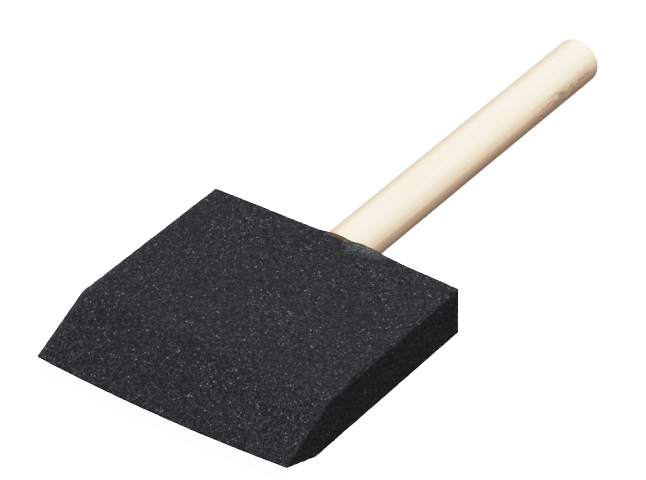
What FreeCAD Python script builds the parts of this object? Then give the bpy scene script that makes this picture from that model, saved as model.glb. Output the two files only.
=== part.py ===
import FreeCAD
import Part

import math
import os

from FreeCAD import Vector

# Foam sponge brush, 3 inch size, lying flat on its foam head.
#
# A charcoal foam block is slit from its rear face. A ribbed plastic core sits in the slit, glued to the
# foam above and below it. The core's post is pressed into the drilled end of a plain wooden dowel, which
# runs out of the rear face as the handle. The foam past the core is cut to a bevelled working edge.
#
# Frame: +X across the head, +Y from the working edge towards the handle's butt, +Z up through the
# thickness. The origin is on the resting plane, under the middle of the whole brush.
# All sizes are in millimetres. A distance named "depth" is measured from the foam's rear face forwards,
# into the head, and a negative depth lies behind that face, along the handle.

# Foam head
HEAD_WIDTH = 75.0  # at the working edge
REAR_PINCH = 0.4  # how much each side draws in at the rear face
HEAD_THICKNESS = 13.5
UPPER_BEVEL_DEPTH = 53.5  # where the upper bevel starts
LOWER_BEVEL_DEPTH = 60.0  # where the lower bevel starts
EDGE_DEPTH = 71.6  # the working edge's two corners
EDGE_CROWN = 1.5  # how far the middle of the working edge bows past its corners
EDGE_Z = 4.5  # the working edge's height above the resting plane
EDGE_BLUNT = 0.5  # the working edge's own thickness
HUMP_HEIGHT = 1.0  # the swell of the foam over the dowel, at the rear face
HUMP_DEPTH = 32.0  # where the swell has faded out
HUMP_HALF_WIDTH = 30.0

# Dowel handle
DOWEL_RADIUS = 6.35  # a half-inch dowel
DOWEL_Z = 6.9  # height of its axis
HANDLE_REACH = 110.0  # from the rear face to the butt
DOWEL_DEPTH = 9.0  # how deep its drilled end sits in the foam
DOWEL_END_RADIUS = 5.9  # the drilled end is eased to a slight taper, which lets it into the slit
BUTT_ROUNDING = 1.6  # round the butt
BORE_RADIUS = 3.2
BORE_LENGTH = 20.0
DRILL_POINT_ANGLE = 118.0  # degrees, at the bottom of the bore

# Plastic core
PLATE_WIDTH = 60.0
PLATE_FRONT_DEPTH = 51.0
PLATE_THICKNESS = 1.6
PLATE_CORNER = 5.0
TAPER_LENGTH = 4.0  # the plate thins towards its front edge over this length
TAPER_EDGE = 0.6  # to this thickness
HUB_RADIUS = 5.2  # the shoulder that the dowel's end butts against
HUB_TIP_RADIUS = 1.3
HUB_FRONT_DEPTH = 30.0  # where the hub's cone has run out into the plate
POST_RADIUS = 2.95
POST_LENGTH = 18.0
POST_CHAMFER = 0.8
CRUSH_RIBS = 6
CRUSH_RIB_WIDTH = 0.9
CRUSH_RIB_LENGTH = 15.0
RIB_HEIGHT = 0.4  # long ribs on both faces of the plate
RIB_WIDTH = 1.2
RIB_PITCH = 6.0
RIBS_EACH_SIDE = 4
RIB_START_DEPTH = 13.0
RIB_END_DEPTH = 45.0
MIDDLE_RIB_START_DEPTH = 33.0  # for the rib that would run into the hub

# Adhesive and the slit's mouth
FILM_MARGIN = 1.2  # the adhesive stops this far inside the plate's outline
SLIT_WIDTH = 62.0
SLIT_GAP = 0.3
MOUTH_HALF_WIDTH = 11.0  # the lips part beside the dowel out to here
MOUTH_HALF_HEIGHT = 6.2  # of the diamond that the dowel's circle covers all but the ends of
MOUTH_DEPTH = 6.0

# Worked out from the dimensions above
OVERALL_LENGTH = EDGE_DEPTH + EDGE_CROWN + HANDLE_REACH
REAR_Y = OVERALL_LENGTH / 2 - HANDLE_REACH
SLACK = 5.0  # how far cutting tools run past what they cut

X_AXIS = Vector(1, 0, 0)
Y_AXIS = Vector(0, 1, 0)
FORWARDS = Vector(0, -1, 0)  # into the head


def at(x, depth, z):
    """A point given by its place across, its depth into the head and its height."""
    return Vector(x, REAR_Y - depth, z)


def box(x_low, x_high, depth_low, depth_high, z_low, z_high):
    """An upright box between two depths."""
    corner = at(x_low, depth_high, z_low)
    return Part.makeBox(x_high - x_low, depth_high - depth_low, z_high - z_low, corner)


def polygon_face(points):
    return Part.Face(Part.makePolygon(points + points[:1]))


def half_width(depth):
    return HEAD_WIDTH / 2 - REAR_PINCH * (1 - depth / EDGE_DEPTH)


def edge_arc(z):
    """The bowed working edge, from its left corner to its right one."""
    half = half_width(EDGE_DEPTH)
    ends = at(-half, EDGE_DEPTH, z), at(half, EDGE_DEPTH, z)
    return Part.Arc(ends[0], at(0, EDGE_DEPTH + EDGE_CROWN, z), ends[1]).toShape()


def cross_line(depth, z):
    """A straight line across the head at one depth, from left to right."""
    half = half_width(depth)
    return Part.LineSegment(at(-half, depth, z), at(half, depth, z)).toShape()


def foam_block():
    """The cut block: flat top, bottom, rear and sides, two bevels, and a narrow blunt edge."""
    top, upper_edge = HEAD_THICKNESS, EDGE_Z + EDGE_BLUNT / 2
    lower_edge = EDGE_Z - EDGE_BLUNT / 2
    outline = [
        (0, 0),
        (0, top),
        (UPPER_BEVEL_DEPTH, top),
        (EDGE_DEPTH, upper_edge),
        (EDGE_DEPTH, lower_edge),
        (LOWER_BEVEL_DEPTH, 0),
    ]
    loops = [
        cross_line(0, 0),
        cross_line(0, top),
        cross_line(UPPER_BEVEL_DEPTH, top),
        edge_arc(upper_edge),
        edge_arc(lower_edge),
        cross_line(LOWER_BEVEL_DEPTH, 0),
    ]
    faces = [polygon_face([at(side * half_width(d), d, z) for d, z in outline]) for side in (-1, 1)]
    flat = {0, 1, 5}  # the rear, the top and the bottom
    for i, low in enumerate(loops):
        high = loops[(i + 1) % len(loops)]
        if i in flat:
            ends = [v.Point for v in low.Vertexes] + [v.Point for v in reversed(high.Vertexes)]
            faces.append(polygon_face(ends))
        else:
            faces.append(Part.makeRuledSurface(low, high))
    shell = Part.makeShell(faces)
    shell.sewShape()
    block = Part.makeSolid(shell)
    if block.Volume < 0:
        block.reverse()
    return block


def foam_hump():
    """The low swell over the dowel: the cap of a wide cone that fades out into the top face."""
    radius = (HUMP_HALF_WIDTH**2 + HUMP_HEIGHT**2) / (2 * HUMP_HEIGHT)
    axis = at(0, 0, HEAD_THICKNESS + HUMP_HEIGHT - radius)
    cone = Part.makeCone(radius, radius - HUMP_HEIGHT, HUMP_DEPTH, axis, FORWARDS)
    half = HEAD_WIDTH / 2
    cap = box(-half, half, 0, HUMP_DEPTH, HEAD_THICKNESS, HEAD_THICKNESS + SLACK)
    return cone.common(cap)


def slit_mouth():
    """The closed slit behind the plate, and the gap where its lips part beside the dowel."""
    half, half_gap = SLIT_WIDTH / 2, SLIT_GAP / 2
    slit = box(-half, half, -SLACK, DOWEL_DEPTH, DOWEL_Z - half_gap, DOWEL_Z + half_gap)
    diamond = polygon_face(
        [
            at(-MOUTH_HALF_WIDTH, MOUTH_DEPTH, DOWEL_Z),
            at(0, MOUTH_DEPTH, DOWEL_Z + MOUTH_HALF_HEIGHT),
            at(MOUTH_HALF_WIDTH, MOUTH_DEPTH, DOWEL_Z),
            at(0, MOUTH_DEPTH, DOWEL_Z - MOUTH_HALF_HEIGHT),
        ]
    )
    return slit.fuse(diamond.extrude(Y_AXIS * (MOUTH_DEPTH + SLACK)))


def plate_outline(margin, z_low, z_high):
    """A slab with the plate's rounded outline, drawn in by a margin."""
    half = PLATE_WIDTH / 2 - margin
    slab = box(-half, half, DOWEL_DEPTH + margin, PLATE_FRONT_DEPTH - margin, z_low, z_high)
    upright = [e for e in slab.Edges if abs(e.tangentAt(e.FirstParameter).z) > 0.9]
    return slab.makeFillet(PLATE_CORNER - margin, upright)


def plate():
    """The core's stiffener plate, which thins towards its front edge."""
    half, edge = PLATE_THICKNESS / 2, TAPER_EDGE / 2
    taper_depth = PLATE_FRONT_DEPTH - TAPER_LENGTH
    side = [
        (DOWEL_DEPTH, half),
        (taper_depth, half),
        (PLATE_FRONT_DEPTH, edge),
        (PLATE_FRONT_DEPTH, -edge),
        (taper_depth, -half),
        (DOWEL_DEPTH, -half),
    ]
    wedge = polygon_face([at(-PLATE_WIDTH / 2, d, DOWEL_Z + z) for d, z in side])
    outline = plate_outline(0, DOWEL_Z - PLATE_THICKNESS, DOWEL_Z + PLATE_THICKNESS)
    return wedge.extrude(X_AXIS * PLATE_WIDTH).common(outline)


def plate_ribs():
    """Long ribs on both faces of the plate, which stand as high as the adhesive between them."""
    reach = PLATE_THICKNESS / 2 + RIB_HEIGHT
    half = RIB_WIDTH / 2
    ribs = []
    for i in range(-RIBS_EACH_SIDE, RIBS_EACH_SIDE + 1):
        x = i * RIB_PITCH
        beside_hub = abs(x) > HUB_RADIUS + half
        start = RIB_START_DEPTH if beside_hub else MIDDLE_RIB_START_DEPTH
        ribs.append(box(x - half, x + half, start, RIB_END_DEPTH, DOWEL_Z - reach, DOWEL_Z + reach))
    return ribs


def post():
    """The round post with crush ribs that grip the bore."""
    seat = at(0, DOWEL_DEPTH, DOWEL_Z)
    plain = POST_LENGTH - POST_CHAMFER
    stem = Part.makeCylinder(POST_RADIUS, plain, seat, Y_AXIS)
    nose = Part.makeCone(POST_RADIUS, POST_RADIUS - POST_CHAMFER, POST_CHAMFER, seat + Y_AXIS * plain, Y_AXIS)
    envelope = Part.makeCylinder(BORE_RADIUS, CRUSH_RIB_LENGTH, seat, Y_AXIS)
    ribs = []
    for i in range(CRUSH_RIBS):
        rib = Part.makeBox(
            CRUSH_RIB_WIDTH, CRUSH_RIB_LENGTH, BORE_RADIUS + 1, seat - X_AXIS * (CRUSH_RIB_WIDTH / 2)
        )
        rib.rotate(seat, Y_AXIS, 360 * i / CRUSH_RIBS)
        ribs.append(rib.common(envelope))
    return stem.multiFuse([nose] + ribs)


def core_insert():
    """The ribbed plate, the hub that fairs it into the shoulder, and the post, in one moulding."""
    shoulder = at(0, DOWEL_DEPTH, DOWEL_Z)
    hub = Part.makeCone(HUB_RADIUS, HUB_TIP_RADIUS, HUB_FRONT_DEPTH - DOWEL_DEPTH, shoulder, FORWARDS)
    return plate().multiFuse(plate_ribs() + [hub, post()]).removeSplitter()


def adhesive_film(side, core):
    """The glue between the ribs on one face of the plate, flush with their crests."""
    near = DOWEL_Z + side * PLATE_THICKNESS / 2
    far = near + side * RIB_HEIGHT
    film = plate_outline(FILM_MARGIN, min(near, far), max(near, far))
    half = PLATE_WIDTH / 2
    taper = box(-half, half, PLATE_FRONT_DEPTH - TAPER_LENGTH, PLATE_FRONT_DEPTH, 0, HEAD_THICKNESS)
    return film.cut(taper).cut(core)


def dowel_outline():
    """The dowel before it is drilled."""
    end = Part.makeCone(DOWEL_END_RADIUS, DOWEL_RADIUS, DOWEL_DEPTH, at(0, DOWEL_DEPTH, DOWEL_Z), Y_AXIS)
    rod = Part.makeCylinder(DOWEL_RADIUS, HANDLE_REACH, at(0, 0, DOWEL_Z), Y_AXIS)
    rims = sorted((e for e in rod.Edges if e.Closed), key=lambda e: e.CenterOfMass.y)
    return end.fuse(rod.makeFillet(BUTT_ROUNDING, [rims[-1]]))


def dowel_handle():
    start = at(0, DOWEL_DEPTH, DOWEL_Z)
    bore = Part.makeCylinder(BORE_RADIUS, BORE_LENGTH, start, Y_AXIS)
    point_length = BORE_RADIUS / math.tan(math.radians(DRILL_POINT_ANGLE / 2))
    drill_point = Part.makeCone(BORE_RADIUS, 0, point_length, start + Y_AXIS * BORE_LENGTH, Y_AXIS)
    return dowel_outline().cut(bore.fuse(drill_point))


def foam_head(held):
    """The block with its swell, closed tightly round everything that it holds."""
    filled = foam_block().fuse(foam_hump()).removeSplitter()
    return filled.cut(slit_mouth()).cut(dowel_outline()).cut(held)


def single_solid(name, shape):
    """The one solid in a shape, checked, so that no boolean operation can fail unseen."""
    solids = shape.Solids
    if len(solids) != 1 or not solids[0].isValid():
        raise RuntimeError(f"{name} has {len(solids)} solids, valid {[s.isValid() for s in solids]}")
    return solids[0]


def main():
    core = core_insert()
    films = {
        "adhesive_film_top": adhesive_film(1, core),
        "adhesive_film_bottom": adhesive_film(-1, core),
    }
    parts = {
        "foam_head": foam_head([core] + list(films.values())),
        "core_insert": core,
        "dowel_handle": dowel_handle(),
        **films,
    }
    os.makedirs("parts", exist_ok=True)
    for name, shape in parts.items():
        solid = single_solid(name, shape)
        solid.exportStep(f"parts/{name}.step")
        size = solid.BoundBox
        print(
            f"{name}: {solid.Volume / 1000:.2f} cm3, x {size.XMin:.2f} to {size.XMax:.2f}, "
            f"y {size.YMin:.2f} to {size.YMax:.2f}, z {size.ZMin:.2f} to {size.ZMax:.2f}"
        )


main()
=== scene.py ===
import math

import bmesh
import bpy
import numpy as np
from mathutils import Matrix, Vector, noise


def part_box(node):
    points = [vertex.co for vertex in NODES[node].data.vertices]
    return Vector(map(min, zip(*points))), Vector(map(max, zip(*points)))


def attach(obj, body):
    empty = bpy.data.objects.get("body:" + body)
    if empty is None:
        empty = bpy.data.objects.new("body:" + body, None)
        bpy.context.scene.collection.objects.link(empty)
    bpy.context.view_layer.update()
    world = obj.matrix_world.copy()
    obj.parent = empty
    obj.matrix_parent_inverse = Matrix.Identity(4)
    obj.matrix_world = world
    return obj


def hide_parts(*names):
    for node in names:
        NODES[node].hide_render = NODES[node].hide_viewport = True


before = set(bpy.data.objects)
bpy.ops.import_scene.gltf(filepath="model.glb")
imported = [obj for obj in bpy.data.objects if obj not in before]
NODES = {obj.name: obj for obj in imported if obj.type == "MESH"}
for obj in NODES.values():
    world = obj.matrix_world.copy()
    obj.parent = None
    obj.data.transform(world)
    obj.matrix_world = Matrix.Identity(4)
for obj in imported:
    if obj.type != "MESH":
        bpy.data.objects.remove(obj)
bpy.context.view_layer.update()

# The foam head and the dowel are modelled here, over the CAD solids that they replace. The plastic core
# and the two films of glue are hidden inside, and keep their CAD shape with a finished material.
# Shapes and materials are written in millimetres, which MM turns into Blender's metres. The lights and
# the camera are placed in metres.
MM = 0.001

FOAM_LOW, FOAM_HIGH = (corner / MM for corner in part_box("foam_head"))
DOWEL_LOW, DOWEL_HIGH = (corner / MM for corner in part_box("dowel_handle"))
CORE_LOW, CORE_HIGH = (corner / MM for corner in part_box("core_insert"))

REAR_Y = FOAM_HIGH.y
BUTT_Y = DOWEL_HIGH.y
AXIS_Z = (DOWEL_LOW.z + DOWEL_HIGH.z) / 2
DOWEL_RADIUS = (DOWEL_HIGH.x - DOWEL_LOW.x) / 2
SOCKET_Y = DOWEL_LOW.y  # the dowel's drilled end, inside the foam

# Foam head. Depths are measured from the rear face, forwards.
TIP_HALF = FOAM_HIGH.x
REAR_PINCH = 0.4  # each side face comes in by this much at the rear
THICKNESS = 13.5
UPPER_BEVEL = 53.5
LOWER_BEVEL = 60.0
EDGE_CROWN = 1.5  # the working edge is this much deeper in its middle than at its corners
EDGE_DEPTH = REAR_Y - FOAM_LOW.y - EDGE_CROWN
EDGE_Z = 4.5
EDGE_BLUNT = 0.5
ACROSS, ALONG_FLAT, ALONG_BEVEL, UPWARDS = 158, 126, 42, 28  # grid cells on the foam's surface
POCKET_HALF_HEIGHT = 1.2  # the plate and both films of glue fill it
SLIT_HALF_HEIGHT = 0.18
MOUTH_HALF_WIDTH, MOUTH_HALF_HEIGHT, MOUTH_DEPTH = 11.0, 6.2, 6
GRIP = 0.08  # the foam closes on the dowel by this much, so no gap shows round it

# Rises across the foam's top: where each is in X, its half width and its height
OVER_DOWEL = (7, 11.5, 0.55)
# the foam over this lip is painted brown, as a painted shadow
SHADOWED_LIP = (0.6, 3.4, 0.34)
# the foam over this lip is painted paler, as a painted highlight
HIGHLIT_LIP = (9.6, 3.6, 0.42)

# Dowel
BUTT_ROUNDING = 1.6
BORE_RADIUS, BORE_DEPTH = 3.2, 20
DRILL_POINT = math.radians(59)  # half the angle of the bore's cone-shaped end
DRILLED_END_RADIUS = 5.9  # a little slimmer than the rest of the dowel


def new_object(name, mesh):
    obj = bpy.data.objects.new(name, mesh)
    bpy.context.scene.collection.objects.link(obj)
    return obj


def mesh_from(name, points, faces):
    """A mesh from points in millimetres."""
    mesh = bpy.data.meshes.new(name)
    mesh.from_pydata([tuple(p) for p in np.asarray(points) * MM], [], faces)
    mesh.validate()
    return mesh


def shade_smooth(mesh, sharp_degrees):
    """Smooth shading, except over an edge that turns by more than an angle."""
    for polygon in mesh.polygons:
        polygon.use_smooth = True
    mesh.set_sharp_from_angle(angle=math.radians(sharp_degrees))


def smoothstep(t):
    t = np.clip(t, 0, 1)
    return t * t * (3 - 2 * t)


# ---------------------------------------------------------------- foam head


def hump(x, place, half_width, height):
    """A flat-topped rise across the foam."""
    return height * np.exp(-(((x - place) / half_width) ** 4))


def swell(x, depth):
    """How far the top stands proud: broadly, over the dowel, and in two low lips at the rear edge."""
    broad_height, broad_depth, dowel_depth, lip_depth = 0.48, 34, 20, 3.5
    broad = broad_height * (1 - (x / TIP_HALF) ** 2)
    lips = hump(x, *SHADOWED_LIP) + hump(x, *HIGHLIT_LIP)
    return (
        broad * (1 - smoothstep(depth / broad_depth))
        + hump(x, *OVER_DOWEL) * (1 - smoothstep(depth / dowel_depth))
        + lips * (1 - smoothstep(depth / lip_depth))
    )


def foam_point(u, row, w):
    """The foam's surface at a place across (0 to 1), along (rows from the rear face) and up (0 to 1)."""
    across = 2 * u - 1
    edge = EDGE_DEPTH + EDGE_CROWN * (1 - across**2)
    flat = np.clip(row / ALONG_FLAT, 0, 1)
    bevel = np.clip((row - ALONG_FLAT) / ALONG_BEVEL, 0, 1)
    top_depth = UPPER_BEVEL * flat + (edge - UPPER_BEVEL) * bevel
    low_depth = LOWER_BEVEL * flat + (edge - LOWER_BEVEL) * bevel
    top_z = THICKNESS + (EDGE_Z + EDGE_BLUNT / 2 - THICKNESS) * bevel
    low_z = (EDGE_Z - EDGE_BLUNT / 2) * bevel
    depth = low_depth + (top_depth - low_depth) * w
    x = across * (TIP_HALF - REAR_PINCH * (1 - depth / EDGE_DEPTH))
    z = low_z + (top_z + swell(x, top_depth) - low_z) * w
    return np.stack([x, REAR_Y - depth, z], axis=1)


def foam_grid():
    """The closed skin of the head as a box of grid cells: (points, quads)."""
    counts = (ACROSS, ALONG_FLAT + ALONG_BEVEL, UPWARDS)
    index = {}

    def vertex(key):
        return index.setdefault(key, len(index))

    quads = []
    for axis in range(3):
        first, second = (axis + 1) % 3, (axis + 2) % 3
        for side in (0, counts[axis]):
            for a in range(counts[first]):
                for b in range(counts[second]):
                    ring = [(a, b), (a + 1, b), (a + 1, b + 1), (a, b + 1)]
                    if side == 0:
                        ring.reverse()
                    keys = []
                    for p, q in ring:
                        key = [0, 0, 0]
                        key[axis], key[first], key[second] = side, p, q
                        keys.append(vertex(tuple(key)))
                    quads.append(keys)
    grid = np.array(list(index.keys()), float)
    points = foam_point(grid[:, 0] / counts[0], grid[:, 1], grid[:, 2] / counts[2])
    # The rows run against Y, which turns the quads inside out, so each is listed the other way round.
    return points, [q[::-1] for q in quads]


def relaxed(points, quads, rounds):
    """Moves each point towards the mean of its neighbours, which softens the cut edges."""
    q = np.array(quads)
    edges = np.concatenate([q[:, [0, 1]], q[:, [1, 2]], q[:, [2, 3]], q[:, [3, 0]]])
    count = np.bincount(edges[:, 0], minlength=len(points))[:, None]
    keep = 0.5  # how much of its own place a point keeps in a round
    for _ in range(rounds):
        total = np.zeros_like(points)
        for axis in range(3):
            total[:, axis] = np.bincount(edges[:, 0], points[edges[:, 1], axis], len(points))
        points = points * keep + total / count * (1 - keep)
    return points


def vertex_normals(points, quads):
    """(unit normals, sharpness). Sharpness is 0 on a flat face and rises towards an edge or corner."""
    q = np.array(quads)
    cross = np.cross(points[q[:, 2]] - points[q[:, 0]], points[q[:, 3]] - points[q[:, 1]])
    cross /= np.linalg.norm(cross, axis=1, keepdims=True) + 1e-12
    normals = np.zeros_like(points)
    for corner in range(4):
        for axis in range(3):
            normals[:, axis] += np.bincount(q[:, corner], cross[:, axis], len(points))
    count = np.bincount(q.ravel(), minlength=len(points))
    length = np.linalg.norm(normals, axis=1)
    return normals / (length[:, None] + 1e-12), 1 - length / count


def pore(point, size, share):
    """0 to 1: how deep in an open pore a point is. Only some of the cells of the pattern are pores."""
    distances, centres = noise.voronoi(point / size)
    cell_shift = 3.7  # takes each cell's centre to a place of its own in the pattern of random numbers
    if noise.cell(centres[0] * cell_shift) < 1 - 2 * share:
        return 0.0
    pore_radius = 0.45  # in sizes of a cell
    return max(0.0, 1 - distances[0] / pore_radius)


def ripple(point, size):
    """The bumps of a noise pattern, without its dips."""
    return max(0.0, noise.noise(point / size))


def cell_relief(points, sharpness):
    """How far each point sinks below the cut surface, from broad waves down to single open cells."""
    torn_from_x = 30
    sink = np.zeros(len(points))
    for i, p in enumerate(points):
        v = Vector(p)
        waves = 0.03 * noise.noise(v / 16) + 0.02 * noise.noise(v / 6)
        grain = 0.04 * noise.noise(v / 1.7) + 0.05 * noise.noise(v / 0.8)
        pits = 0.12 * pore(v, 1.5, 0.55) + 0.22 * pore(v, 3.4, 0.07)
        pits *= max(0.0, 1 - 4 * sharpness[i])
        # the cut is torn along the upper edge on +X, and nearly clean along the others
        across = smoothstep((v.x - torn_from_x) / 4)
        upwards = smoothstep((v.z - EDGE_Z) / 3)
        forwards = smoothstep((REAR_Y - v.y) / 4)
        torn = 0.08 + 0.92 * across * upwards * forwards
        nibble = sharpness[i] * torn * (0.6 + 4.5 * ripple(v, 1.3) + 4.5 * ripple(v, 3.6))
        sink[i] = 0.05 + waves + grain + pits + nibble
    deepest = 0.9
    return np.clip(sink, 0, deepest)


def lathe(profile, segments):
    """A closed shell turned round the dowel's axis, from (radius, y) pairs that start and end on it."""
    points, faces, rings = [], [], []
    for radius, y in profile:
        if radius == 0:
            rings.append([len(points)])
            points.append((0, y, AXIS_Z))
            continue
        rings.append(list(range(len(points), len(points) + segments)))
        for s in range(segments):
            turn = 2 * math.pi * s / segments
            points.append((radius * math.sin(turn), y, AXIS_Z + radius * math.cos(turn)))
    for low, high in zip(rings, rings[1:]):
        for s in range(segments):
            t = (s + 1) % segments
            if len(low) == 1:
                faces.append((low[0], high[s], high[t]))
            elif len(high) == 1:
                faces.append((low[s], high[0], low[t]))
            else:
                faces.append((low[s], high[s], high[t], low[t]))
    return points, faces


def prism(outline, y_low, y_high):
    """A closed bar between two Y places, from the (x, z) points of its outline."""
    n = len(outline)
    points = [(x, y, z) for y in (y_low, y_high) for x, z in outline]
    faces = [tuple(range(n)), tuple(range(2 * n - 1, n - 1, -1))]
    faces += [(i, i + n, (i + 1) % n + n, (i + 1) % n) for i in range(n)]
    return points, faces


def flat_outline(half_width, half_height):
    """A rectangle about the dowel's axis, for prism."""
    low, high = AXIS_Z - half_height, AXIS_Z + half_height
    return [(-half_width, low), (-half_width, high), (half_width, high), (half_width, low)]


def outward(mesh):
    """Turns every face to the outside."""
    bm = bmesh.new()
    bm.from_mesh(mesh)
    bmesh.ops.recalc_face_normals(bm, faces=bm.faces)
    bm.to_mesh(mesh)
    bm.free()


def combine(obj, other, operation):
    """Joins another closed object to this one, or cuts it out, and removes the other."""
    step = obj.modifiers.new(other.name, "BOOLEAN")
    step.operation = operation
    step.solver = "EXACT"
    step.object = other
    evaluated = obj.evaluated_get(bpy.context.evaluated_depsgraph_get())
    result = bpy.data.meshes.new_from_object(evaluated)
    obj.modifiers.clear()
    old = obj.data
    obj.data = result
    bpy.data.meshes.remove(old)
    bpy.data.objects.remove(other)


def closed_volume(mesh):
    """(volume in cubic centimetres, number of edges that don't join two faces)."""
    bm = bmesh.new()
    bm.from_mesh(mesh)
    volume = bm.calc_volume() / (10 * MM) ** 3
    loose = sum(not edge.is_manifold for edge in bm.edges)
    bm.free()
    return volume, loose


def carve(obj, shapes):
    """Takes closed shapes out of an object, joined first so that its rough skin is cut only once."""
    cutters = []
    for name, (points, faces) in shapes.items():
        cutter = new_object(name, mesh_from(name, points, faces))
        outward(cutter.data)
        cutters.append(cutter)
    whole = cutters[0]
    for cutter in cutters[1:]:
        combine(whole, cutter, "UNION")
    before = closed_volume(obj.data)[0]
    cut_out = closed_volume(whole.data)[0]
    combine(obj, whole, "DIFFERENCE")
    after, loose = closed_volume(obj.data)
    if loose or not before - cut_out <= after < before - 0.5 * cut_out:
        volumes = f"{before:.2f} - {cut_out:.2f} gave {after:.2f} cm3"
        raise RuntimeError(f"carving {obj.name}: {volumes}, {loose} loose edges")


def foam_head():
    """The foam block, with the space for the core, the films and the dowel cut out of it."""
    points, quads = foam_grid()
    points = relaxed(points, quads, rounds=1)
    normals, sharpness = vertex_normals(points, quads)
    points -= normals * cell_relief(points, sharpness)[:, None]
    foam = new_object("foam_block", mesh_from("foam_block", points, quads))

    plate_half_width = CORE_HIGH.x
    plate_front = CORE_LOW.y
    hub_front = plate_front + 18
    slit_front = SOCKET_Y - 0.5  # a little way into the pocket
    # Each shape ends at its own place behind the foam, so that no two of their faces lie in one plane.
    slit_end, mouth_end, socket_end = REAR_Y + 5, REAR_Y + 5.3, REAR_Y + 5.6
    socket = [
        # round the core's cone-shaped hub
        (0, hub_front),
        (1.3, hub_front + 3),
        (5.2, SOCKET_Y),
        # round the dowel
        (DRILLED_END_RADIUS - GRIP, SOCKET_Y),
        (DOWEL_RADIUS - GRIP, REAR_Y),
        (DOWEL_RADIUS - GRIP, socket_end),
        (0, socket_end),
    ]
    mouth = [
        (-MOUTH_HALF_WIDTH, AXIS_Z),
        (0, AXIS_Z + MOUTH_HALF_HEIGHT),
        (MOUTH_HALF_WIDTH, AXIS_Z),
        (0, AXIS_Z - MOUTH_HALF_HEIGHT),
    ]
    slit = flat_outline(plate_half_width + 1, SLIT_HALF_HEIGHT)
    shapes = {
        "pocket": prism(flat_outline(plate_half_width, POCKET_HALF_HEIGHT), plate_front, SOCKET_Y),
        "slit": prism(slit, slit_front, slit_end),
        "mouth": prism(mouth, REAR_Y - MOUTH_DEPTH, mouth_end),
        "socket": lathe(socket, segments=96),
    }
    carve(foam, shapes)
    shade_smooth(foam.data, sharp_degrees=55)
    return foam


# ---------------------------------------------------------------- dowel


def butt_profile():
    """(radius, y) pairs round the butt's edge and over its end to the axis."""
    face_radius = DOWEL_RADIUS - BUTT_ROUNDING
    side_end = BUTT_Y - BUTT_ROUNDING
    steps, rings, ring_width = 10, 7, 0.55
    points = []
    for i in range(1, steps + 1):
        turn = math.pi / 2 * i / steps
        radius = face_radius + BUTT_ROUNDING * math.cos(turn)
        points.append((radius, side_end + BUTT_ROUNDING * math.sin(turn)))
    points += [(face_radius - i * ring_width, BUTT_Y) for i in range(1, rings + 1)]
    return points + [(0, BUTT_Y)]


def dowel():
    """The turned dowel with its blind bore, then worn very slightly out of true along the grain."""
    bore_end = SOCKET_Y + BORE_DEPTH
    profile = [
        (0, bore_end + BORE_RADIUS / math.tan(DRILL_POINT)),
        (BORE_RADIUS, bore_end),
        (BORE_RADIUS, SOCKET_Y + 0.5),
        (BORE_RADIUS + 0.3, SOCKET_Y),
        (DRILLED_END_RADIUS - 0.4, SOCKET_Y),
        (DRILLED_END_RADIUS, SOCKET_Y + 0.4),
    ]
    steps = 200
    for i in range(steps + 1):
        y = REAR_Y + (BUTT_Y - BUTT_ROUNDING - REAR_Y) * i / steps
        profile.append((DOWEL_RADIUS, y))
    profile += butt_profile()
    points, faces = lathe(profile, segments=144)
    unworn_radius = BORE_RADIUS + 0.4  # the bore and the middle of the butt keep their shape
    butt_face = BUTT_Y - 0.2
    shaped = []
    for p in points:
        v = Vector(p)
        radial = Vector((v.x, 0, v.z - AXIS_Z))
        length = radial.length
        if length > unworn_radius:
            fibres = 0.022 * noise.noise(Vector((v.x / 1.1, v.y / 34, v.z / 1.1)))
            waves = 0.035 * noise.noise(Vector((v.x / 7, v.y / 45, v.z / 7)))
            v -= radial / length * (0.03 + (fibres + waves))
            if v.y > butt_face:
                v.y -= 0.05 + 0.04 * noise.noise(Vector((v.x / 0.7, 0, v.z / 4)))
        shaped.append(tuple(v))
    obj = new_object("dowel_rod", mesh_from("dowel_rod", shaped, faces))
    outward(obj.data)
    shade_smooth(obj.data, sharp_degrees=50)
    return obj


# ---------------------------------------------------------------- materials


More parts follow.
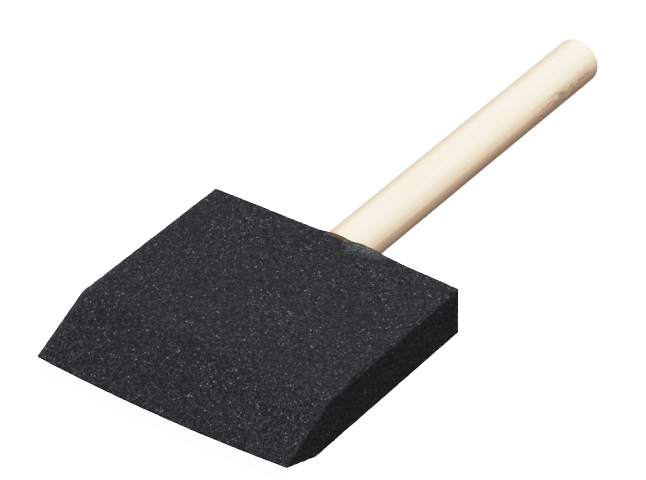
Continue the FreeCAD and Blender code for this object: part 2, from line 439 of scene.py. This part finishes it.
class Nodes:
    """A short way to write a material's node tree. Sizes of patterns are in millimetres."""

    def __init__(self, name):
        self.material = bpy.data.materials.new(name)
        self.material.use_nodes = True
        self.tree = self.material.node_tree
        self.shader = self.tree.nodes["Principled BSDF"]
        self.place = self.add("ShaderNodeTexCoord").outputs["Object"]

    def add(self, kind, **settings):
        node = self.tree.nodes.new(kind)
        for key, value in settings.items():
            setattr(node, key, value)
        return node

    def put(self, socket, value):
        if isinstance(value, bpy.types.NodeSocket):
            self.tree.links.new(value, socket)
        else:
            socket.default_value = value

    def stretched(self, scale, location=(0, 0, 0)):
        """The place on the object, scaled along each axis and then moved."""
        node = self.add("ShaderNodeMapping")
        self.put(node.inputs["Vector"], self.place)
        node.inputs["Scale"].default_value = scale
        node.inputs["Location"].default_value = location
        return node.outputs["Vector"]

    def clouds(self, size, detail=2.0, where=None, rough=0.5, distortion=0.0):
        node = self.add("ShaderNodeTexNoise")
        self.put(node.inputs["Vector"], where or self.place)
        node.inputs["Scale"].default_value = 1 / (size * MM)
        node.inputs["Detail"].default_value = detail
        node.inputs["Roughness"].default_value = rough
        node.inputs["Distortion"].default_value = distortion
        return node.outputs["Fac"]

    def cells(self, size, where=None):
        node = self.add("ShaderNodeTexVoronoi")
        self.put(node.inputs["Vector"], where or self.place)
        node.inputs["Scale"].default_value = 1 / (size * MM)
        return node

    def calculate(self, operation, a, b=0.0):
        node = self.add("ShaderNodeMath", operation=operation)
        self.put(node.inputs[0], a)
        self.put(node.inputs[1], b)
        return node.outputs[0]

    def product(self, a, b):
        return self.calculate("MULTIPLY", a, b)

    def minus(self, a, b):
        return self.calculate("SUBTRACT", a, b)

    def between(self, value, low, high, out_low=0.0, out_high=1.0):
        """value from low to high becomes out_low to out_high, smoothly and held at its ends."""
        node = self.add("ShaderNodeMapRange", interpolation_type="SMOOTHSTEP")
        for socket, number in zip(node.inputs, (value, low, high, out_low, out_high)):
            self.put(socket, number)
        return node.outputs[0]

    def mix(self, factor, a, b, blend="MIX"):
        node = self.add("ShaderNodeMix", data_type="RGBA", blend_type=blend)
        self.put(node.inputs["Factor"], factor)
        self.put(node.inputs["A"], a)
        self.put(node.inputs["B"], b)
        return node.outputs["Result"]

    def axes(self, vector):
        node = self.add("ShaderNodeSeparateXYZ")
        self.put(node.inputs[0], vector)
        return node.outputs

    def bump(self, height, distance, strength, after=None):
        node = self.add("ShaderNodeBump")
        self.put(node.inputs["Height"], height)
        node.inputs["Distance"].default_value = distance * MM
        node.inputs["Strength"].default_value = strength
        if after:
            self.put(node.inputs["Normal"], after)
        return node.outputs["Normal"]

    def finish(self, color, roughness, normal=None, **fixed):
        self.put(self.shader.inputs["Base Color"], color)
        self.put(self.shader.inputs["Roughness"], roughness)
        if normal:
            self.put(self.shader.inputs["Normal"], normal)
        for name, value in fixed.items():
            self.shader.inputs[name.replace("_", " ")].default_value = value
        return self.material


def rgb(red, green, blue):
    return (red, green, blue, 1.0)


def foam_material():
    """Open-cell foam: dark cells, paler struts, a few struts painted bright as glints, and faint
    clouding.
    """
    n = Nodes("foam")
    place = n.axes(n.place)
    fine = n.cells(0.37)
    coarse = n.cells(1.1)
    fine_random = n.axes(fine.outputs["Color"])
    struts = n.between(fine.outputs["Distance"], 0.12, 0.70)
    clumps = n.clouds(1.5, 3)
    clouds = n.clouds(14, 2)
    tint = n.clouds(4.5, 2, where=n.stretched((1, 1, 1), (0.3, 0.1, 0.2)))
    color = n.mix(struts, rgb(0.0038, 0.0040, 0.0042), rgb(0.0205, 0.0222, 0.0240))

    # painted light: side faces get fewer pale cells and glints, and a paler base, as their light is
    # flatter
    side_painted_calm = 0.62
    cut = n.axes(n.add("ShaderNodeNewGeometry").outputs["True Normal"])
    painted_calm = n.between(n.calculate("ABSOLUTE", cut[0]), 0.35, 0.75, 1.0, side_painted_calm)
    pale_cell = n.product(n.between(fine_random[0], 0.50, 1.0, 0.0, 0.78), painted_calm)
    color = n.mix(n.product(pale_cell, struts), color, rgb(0.0640, 0.0685, 0.0730))
    # painted light: the base of the side faces is painted paler
    color = n.mix(n.between(painted_calm, 1.0, side_painted_calm, 0.0, 0.28), color, rgb(0.034, 0.0345, 0.034))
    color = n.mix(n.between(fine_random[2], 0.27, 0.12, 0.0, 0.8), color, rgb(0.004, 0.004, 0.004))
    # painted highlights: a few struts are painted near white, as glints
    painted_glint = n.between(fine_random[1], 0.957, 0.985)
    painted_glint = n.product(painted_glint, n.between(fine.outputs["Distance"], 0.6, 0.2))
    painted_glint = n.product(painted_glint, painted_calm)
    painted_glint = n.product(painted_glint, n.between(clumps, 0.30, 0.55, 0.4, 1.0))
    color = n.mix(painted_glint, color, rgb(0.26, 0.277, 0.287))

    # darker clumps and clouds, with a teal or brown tint in places
    color = n.mix(n.between(clumps, 0.38, 0.62, 0.26, 0.0), color, rgb(0.006, 0.006, 0.006))
    color = n.mix(n.between(tint, 0.45, 0.68, 0.0, 0.17), color, rgb(0.012, 0.021, 0.024))
    color = n.mix(n.between(tint, 0.52, 0.34, 0.0, 0.12), color, rgb(0.021, 0.016, 0.0155))
    color = n.mix(n.between(clouds, 0.35, 0.65, 0.14, 0.0), color, rgb(0.010, 0.010, 0.010))

    # painted highlight: a paler grey patch on the raised lip over the dowel, where it catches the light
    lip_x = n.product(n.minus(place[0], HIGHLIT_LIP[0] * MM), 0.52)
    lip_y = n.minus(place[1], (REAR_Y - 0.4) * MM)
    squares = n.calculate("ADD", n.calculate("POWER", lip_x, 2.0), n.calculate("POWER", lip_y, 2.0))
    from_lip = n.calculate("SQRT", squares)
    upper = n.between(place[2], 12.2 * MM, 13.4 * MM)
    lip_highlight = n.between(from_lip, 4.4 * MM, 0.6 * MM)
    lip_highlight = n.product(lip_highlight, n.between(fine_random[0], 0.1, 0.9, 0.25, 0.85))
    lip_highlight = n.product(lip_highlight, upper)
    color = n.mix(lip_highlight, color, n.mix(struts, rgb(0.030, 0.031, 0.031), rgb(0.122, 0.124, 0.122)))
    # painted shadow: a brown patch on the other lip, for the shaded wood seen under it
    lip_shadow = n.calculate("ABSOLUTE", n.minus(place[0], 1.4 * MM))
    lip_shadow = n.product(n.between(lip_shadow, 4.2 * MM, 2.4 * MM), n.between(lip_y, -1.7 * MM, 0.2 * MM))
    lip_shadow = n.product(lip_shadow, upper)
    color = n.mix(n.product(lip_shadow, 0.85), color, rgb(0.100, 0.069, 0.047))

    # a painted rim light along the edge on -X, strongest near the tip
    rim_start, rim_full = -50 * MM, -74 * MM
    rim_light = n.between(place[0], -(TIP_HALF - 2.6) * MM, -(TIP_HALF - 0.2) * MM)
    rim_light = n.product(rim_light, n.between(place[1], rim_start, rim_full, 0.35, 1.0))
    color = n.mix(rim_light, color, rgb(0.011, 0.0145, 0.0155), blend="ADD")

    relief = n.bump(fine.outputs["Distance"], 0.10, 0.6)
    relief = n.bump(coarse.outputs["Distance"], 0.20, 0.4, after=relief)
    roughness = n.between(clumps, 0.3, 0.7, 0.82, 0.97)
    return n.finish(color, roughness, relief, Specular_IOR_Level=0.04)


def wood_material():
    """Pale sanded birch: faint rings, fibres, short pores, and a rough brown streak near the butt."""
    n = Nodes("birch")
    place = n.axes(n.place)
    wander = n.clouds(30, 2, where=n.stretched((1, 0.25, 1)))
    rings = n.add("ShaderNodeTexWave", wave_type="RINGS", rings_direction="Y")
    n.put(rings.inputs["Vector"], n.stretched((1, 0.035, 1), (0.019, 0, 0.031)))
    ring_width, ring_width_at_scale_1 = 2.1 * MM, 0.314
    rings.inputs["Scale"].default_value = ring_width_at_scale_1 / ring_width
    rings.inputs["Distortion"].default_value = 2.2
    rings.inputs["Detail"].default_value = 2
    rings.inputs["Detail Scale"].default_value = 0.6
    ring_line = n.between(rings.outputs["Fac"], 0.72, 1.0)
    fibres = n.clouds(0.5, 3, where=n.stretched((1, 0.028, 1)), rough=0.6)
    streaks = n.clouds(2.6, 2, where=n.stretched((1, 0.05, 1), (0.02, 0, 0.05)))
    pores = n.cells(0.34, where=n.stretched((1, 0.16, 1)))
    pore_random = n.axes(pores.outputs["Color"])
    pore = n.between(pore_random[0], 0.86, 0.92)
    pore = n.product(pore, n.between(pores.outputs["Distance"], 0.5, 0.1))

    cream = rgb(0.865, 0.705, 0.48)
    straw = rgb(0.80, 0.615, 0.41)
    tan = rgb(0.63, 0.44, 0.29)
    color = n.mix(n.between(streaks, 0.38, 0.66, 0.0, 0.55), cream, straw)
    color = n.mix(n.product(ring_line, n.between(wander, 0.3, 0.6, 0.10, 0.34)), color, tan)
    color = n.mix(n.between(fibres, 0.42, 0.72, 0.0, 0.30), color, straw)
    color = n.mix(n.product(pore, 0.30), color, rgb(0.42, 0.31, 0.22))

    # painted shade: a warm tint low on +X, where the side turns from the light, and a painted dark line
    # along it
    height = n.minus(place[2], AXIS_Z * MM)
    side = n.minus(n.product(place[0], 0.86), n.product(height, 0.5))
    warm_shade = n.between(side, 0.8 * MM, 5.6 * MM, 0.0, 0.72)
    warm_shade = n.product(warm_shade, n.between(streaks, 0.3, 0.6, 0.75, 1.0))
    color = n.mix(warm_shade, color, rgb(0.715, 0.445, 0.32))
    edge_shade = n.product(n.between(side, 4.3 * MM, 5.1 * MM), n.between(side, 6.2 * MM, 5.4 * MM))
    color = n.mix(n.product(edge_shade, 0.42), color, rgb(0.52, 0.31, 0.21))

    # painted shade: a warm tint along the grazing edge high on -X
    left_warm_shade = n.minus(n.product(height, 0.636), n.product(place[0], 0.772))
    left_warm_shade = n.between(left_warm_shade, 4.2 * MM, 6.2 * MM, 0.0, 0.85)
    color = n.mix(left_warm_shade, color, rgb(0.66, 0.43, 0.31))

    # the rough streak, which ends before the butt
    butt = BUTT_Y * MM
    far_end = n.between(place[1], butt - 3.5 * MM, butt - 7 * MM)
    reach = n.product(n.between(place[1], butt - 36 * MM, butt - 22 * MM), far_end)
    band = n.between(side, 2.8 * MM, 4.7 * MM)
    band = n.product(band, n.between(side, 6.3 * MM, 5.2 * MM, 0.35, 1.0))
    band = n.product(band, reach)
    torn = n.clouds(0.9, 3, where=n.stretched((1, 0.20, 1)), rough=0.7)
    flecks = n.cells(0.42, where=n.stretched((1, 0.38, 1)))
    fleck_random = n.axes(flecks.outputs["Color"])
    dark_fleck = n.product(n.between(fleck_random[0], 0.55, 0.75), n.between(torn, 0.36, 0.56))
    pale_fleck = n.product(band, n.between(fleck_random[1], 0.86, 0.93, 0.0, 0.55))
    streak = n.product(band, dark_fleck)
    color = n.mix(n.product(band, 0.45), color, rgb(0.58, 0.355, 0.245))
    color = n.mix(n.product(streak, 0.75), color, rgb(0.27, 0.19, 0.13))
    color = n.mix(pale_fleck, color, rgb(0.82, 0.66, 0.48))

    # a painted brown contact shadow on the wood, where the foam's edge rests on it
    contact_shadow = n.between(place[1], (REAR_Y + 3.4) * MM, (REAR_Y + 1.0) * MM)
    contact_shadow = n.product(contact_shadow, n.between(place[0], 0.5 * MM, -2.5 * MM))
    color = n.mix(n.product(contact_shadow, 0.7), color, rgb(0.47, 0.29, 0.17))

    # end grain on the butt
    end = n.between(place[1], butt - 0.9 * MM, butt - 0.1 * MM)
    end_pores = n.cells(0.22)
    end_wall = n.between(end_pores.outputs["Distance"], 0.1, 0.5)
    end_color = n.mix(end_wall, rgb(0.56, 0.43, 0.30), rgb(0.80, 0.67, 0.50))
    end_color = n.mix(n.product(ring_line, 0.5), end_color, tan)
    color = n.mix(end, color, end_color)

    relief = n.bump(fibres, 0.05, 0.35)
    relief = n.bump(streak, 0.09, 0.5, after=relief)
    relief = n.bump(n.minus(1.0, pore), 0.04, 0.5, after=relief)
    roughness = n.between(fibres, 0.3, 0.7, 0.50, 0.66)
    return n.finish(color, roughness, relief, Specular_IOR_Level=0.55)


def core_material():
    """Natural polyethylene: milky, with a faint flow pattern and an eggshell surface from the mould."""
    n = Nodes("core_polyethylene")
    flow = n.clouds(9, 3, where=n.stretched((1, 0.3, 1)), distortion=0.8)
    grain = n.clouds(0.35, 2)
    color = n.mix(n.between(flow, 0.35, 0.65), rgb(0.70, 0.70, 0.66), rgb(0.80, 0.80, 0.77))
    color = n.mix(n.between(grain, 0.5, 0.7, 0.0, 0.12), color, rgb(0.60, 0.60, 0.57))
    relief = n.bump(grain, 0.03, 0.5)
    roughness = n.between(grain, 0.3, 0.7, 0.34, 0.48)
    return n.finish(color, roughness, relief, Subsurface_Weight=0.15, Subsurface_Scale=2 * MM)


def glue_material():
    """Amber hot-melt glue with small bubbles and an uneven, shiny skin."""
    n = Nodes("hot_melt_glue")
    pool = n.clouds(6, 3, distortion=1.2)
    bubbles = n.cells(1.4)
    bubble = n.between(bubbles.outputs["Distance"], 0.22, 0.12)
    color = n.mix(n.between(pool, 0.35, 0.65), rgb(0.74, 0.58, 0.33), rgb(0.85, 0.74, 0.52))
    color = n.mix(n.product(bubble, 0.4), color, rgb(0.93, 0.88, 0.75))
    relief = n.bump(bubble, 0.08, 0.6)
    relief = n.bump(pool, 0.15, 0.5, after=relief)
    roughness = n.between(pool, 0.3, 0.7, 0.16, 0.32)
    return n.finish(color, roughness, relief)


def dress(obj, material):
    obj.data.materials.clear()
    obj.data.materials.append(material)


# ---------------------------------------------------------------- build

foam = foam_head()
dress(foam, foam_material())
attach(foam, "root")
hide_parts("foam_head")

rod = dowel()
dress(rod, wood_material())
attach(rod, "root")
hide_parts("dowel_handle")

dress(NODES["core_insert"], core_material())
glue = glue_material()
dress(NODES["adhesive_film_top"], glue)
dress(NODES["adhesive_film_bottom"], glue)

# ---------------------------------------------------------------- stage, light and camera


def floor_material():
    """A pale matt floor. It is clear from below, so that it doesn't hide the underside."""
    n = Nodes("floor")
    pale = n.mix(n.clouds(1000 / 3), rgb(0.90, 0.90, 0.90), rgb(0.92, 0.92, 0.92))
    roughness = 0.9
    n.finish(pale, roughness, Emission_Color=rgb(1, 1, 1), Emission_Strength=2.4)
    from_below = n.add("ShaderNodeNewGeometry").outputs["Backfacing"]
    clear = n.add("ShaderNodeBsdfTransparent")
    which = n.add("ShaderNodeMixShader")
    n.put(which.inputs[0], from_below)
    n.put(which.inputs[1], n.shader.outputs[0])
    n.put(which.inputs[2], clear.outputs[0])
    n.put(n.tree.nodes["Material Output"].inputs["Surface"], which.outputs[0])
    return n.material


def floor():
    """A wide floor that neither tints nor shades the object."""
    reach = 6000
    corners = [(-reach, -reach, 0), (reach, -reach, 0), (reach, reach, 0), (-reach, reach, 0)]
    obj = new_object("floor", mesh_from("floor", corners, [(0, 1, 2, 3)]))
    dress(obj, floor_material())
    obj.visible_diffuse = False
    obj.visible_glossy = False
    obj.visible_shadow = False


def sky():
    """An even pale dome, dimmer below the horizon."""
    world = bpy.data.worlds.new("sky")
    world.use_nodes = True
    tree = world.node_tree
    background = tree.nodes["Background"]
    direction = tree.nodes.new("ShaderNodeTexCoord")
    height = tree.nodes.new("ShaderNodeSeparateXYZ")
    ramp = tree.nodes.new("ShaderNodeMapRange")
    tree.links.new(direction.outputs["Generated"], height.inputs[0])
    tree.links.new(height.outputs["Z"], ramp.inputs["Value"])
    for name, value in (("From Min", -0.15), ("From Max", 0.15), ("To Min", 0.07), ("To Max", 0.40)):
        ramp.inputs[name].default_value = value
    tree.links.new(ramp.outputs[0], background.inputs["Strength"])
    background.inputs["Color"].default_value = rgb(0.98, 0.99, 1.0)
    bpy.context.scene.world = world


def softbox(name, towards, distance, size, watts):
    """A square area light that faces the object from a direction."""
    data = bpy.data.lights.new(name, "AREA")
    data.shape = "SQUARE"
    data.size = size
    data.energy = watts
    obj = bpy.data.objects.new(name, data)
    bpy.context.scene.collection.objects.link(obj)
    away = Vector(towards).normalized()
    obj.location = away * distance
    obj.rotation_mode = "QUATERNION"
    obj.rotation_quaternion = away.to_track_quat("Z", "Y")


def camera(azimuth, elevation, roll, distance, lens, sideways, upwards):
    """A long lens at the object's front right. Its aim is moved sideways and upwards in the view."""
    a, e = math.radians(azimuth), math.radians(elevation)
    back = Vector((math.sin(a) * math.cos(e), -math.cos(a) * math.cos(e), math.sin(e)))
    level = (-back).to_track_quat("-Z", "Y").to_matrix().to_4x4()
    turn = Matrix.Rotation(math.radians(roll), 4, back) @ level
    right, up = turn.col[0].to_3d(), turn.col[1].to_3d()
    middle = Vector((0, 0, 7 * MM))
    aim = middle + right * sideways + up * upwards
    data = bpy.data.cameras.new("camera")
    data.lens = lens
    data.sensor_width = 36
    data.sensor_fit = "HORIZONTAL"
    data.clip_start = 0.05
    data.clip_end = 50
    obj = bpy.data.objects.new("camera", data)
    bpy.context.scene.collection.objects.link(obj)
    obj.matrix_world = Matrix.Translation(aim + back * distance) @ turn
    bpy.context.scene.camera = obj


def film_response():
    """The brightest tones roll off gently instead of clipping, as they do on film."""
    view = bpy.context.scene.view_settings
    view.view_transform = "Standard"
    view.use_curve_mapping = True
    brightest = 4.0
    view.curve_mapping.white_level = (brightest,) * 3
    curve = view.curve_mapping.curves[3]
    curve.points[0].location = (0, 0)
    curve.points[1].location = (1, 1)
    shoulder = ((0.5, 0.5), (0.8, 0.72), (1.0, 0.795), (1.3, 0.87), (1.7, 0.93), (2.5, 0.98))
    for light, shown in shoulder:
        curve.points.new(light / brightest, shown)
    for point in curve.points:
        point.handle_type = "AUTO_CLAMPED"
    view.curve_mapping.update()


floor()
sky()
softbox("key", towards=(0.26, 0.14, 0.955), distance=1.6, size=0.9, watts=44)
softbox("left_fill", towards=(-0.9, -0.25, 0.45), distance=1.8, size=1.2, watts=3)
softbox("under_fill", towards=(0, 0, -1), distance=1.6, size=0.6, watts=6)
camera(
    azimuth=36.3,
    elevation=35.7,
    roll=-0.66,
    distance=1.164,
    lens=259.2,
    sideways=-0.014,
    upwards=-0.00425,
)
film_response()
